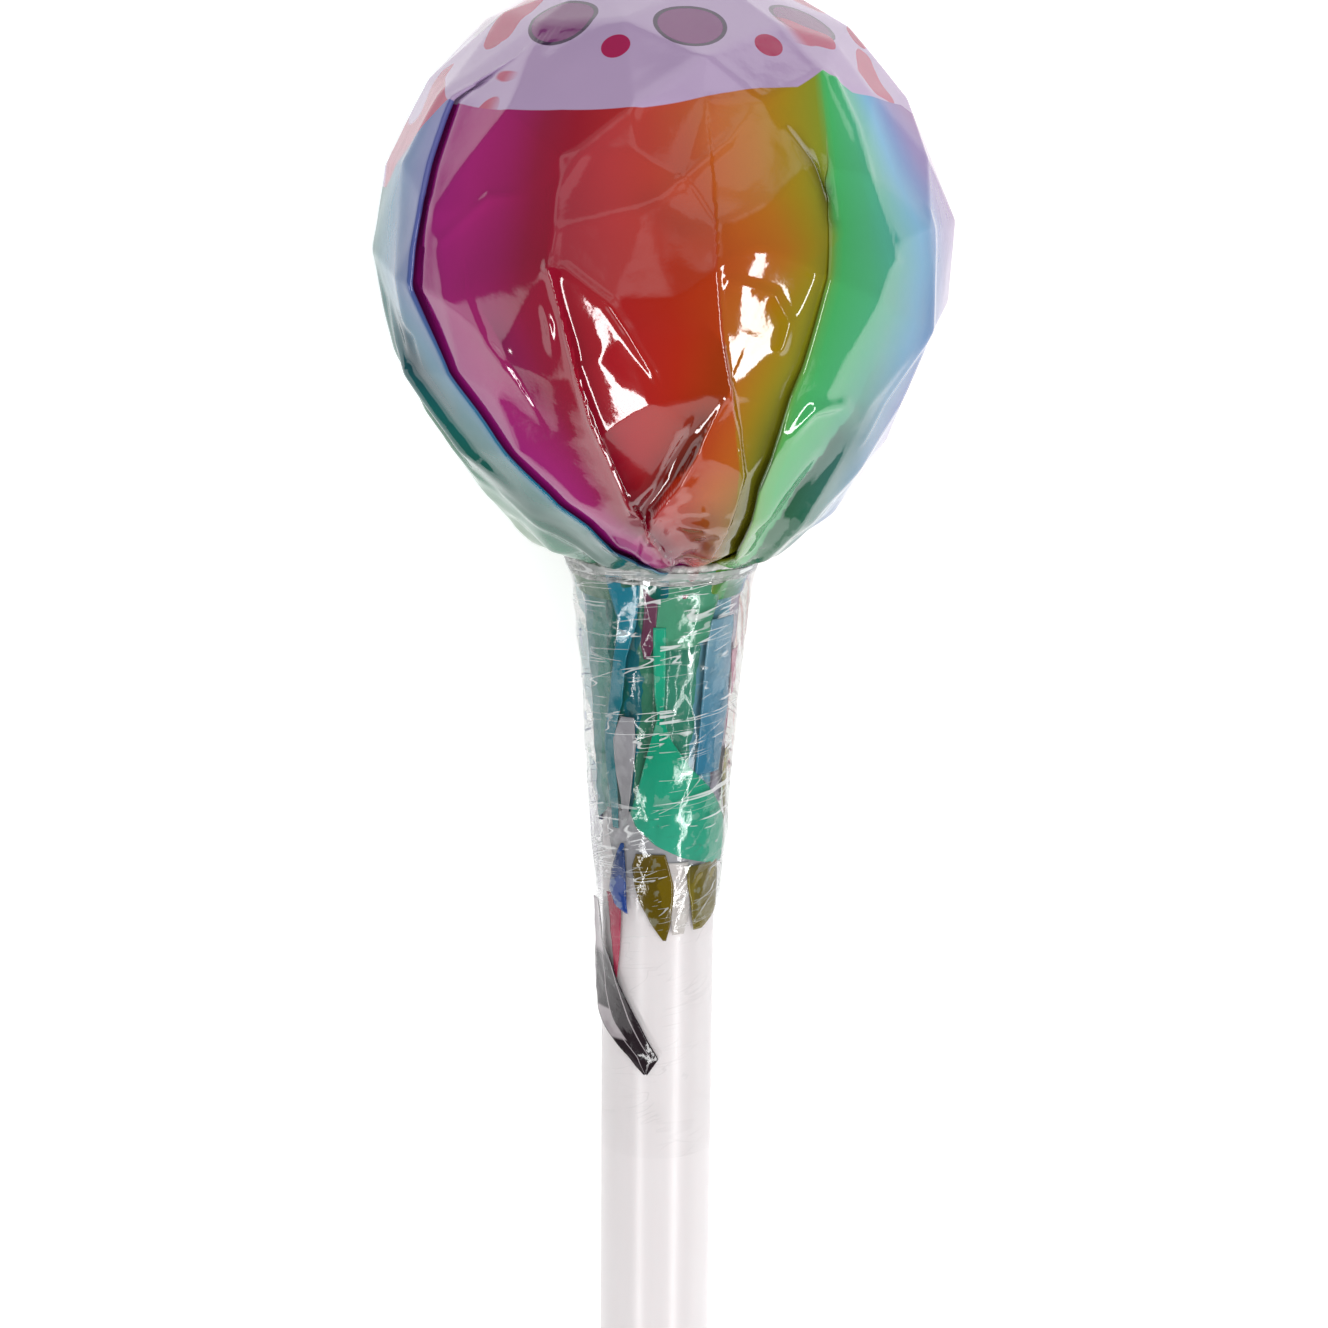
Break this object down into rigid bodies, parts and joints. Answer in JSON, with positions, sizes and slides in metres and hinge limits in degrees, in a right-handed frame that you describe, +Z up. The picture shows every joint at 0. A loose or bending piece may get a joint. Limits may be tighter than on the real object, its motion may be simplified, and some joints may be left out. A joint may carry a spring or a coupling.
{
  "type": "wrapped ball lollipop",
  "caption": "Giant ball lollipop in creased rainbow film, gathered at the neck under clear tape, on a thick white plastic stick, lying on its side.",
  "frame": {"origin": "on the floor, under the middle of the bounding box of the lollipop as it lies", "axes": "+Y along the lollipop towards the ball, +Z up, +X to the right of the shown side"},
  "size_m": [0.0584, 0.1818, 0.0575],
  "materials": {
    "printed_film": "glossy printed sweet film in a rainbow that runs round the ball, under a lavender cap, pulled into flat facets, creases and folds",
    "white_plastic": "smooth glossy white moulded plastic",
    "clear_tape": "clear crinkled plastic tape, shiny, in several turns"
  },
  "bodies": {
    "root": {"wrapper": "printed_film", "stick": "white_plastic", "neck_tape": "clear_tape"}
  },
  "joints": []
}
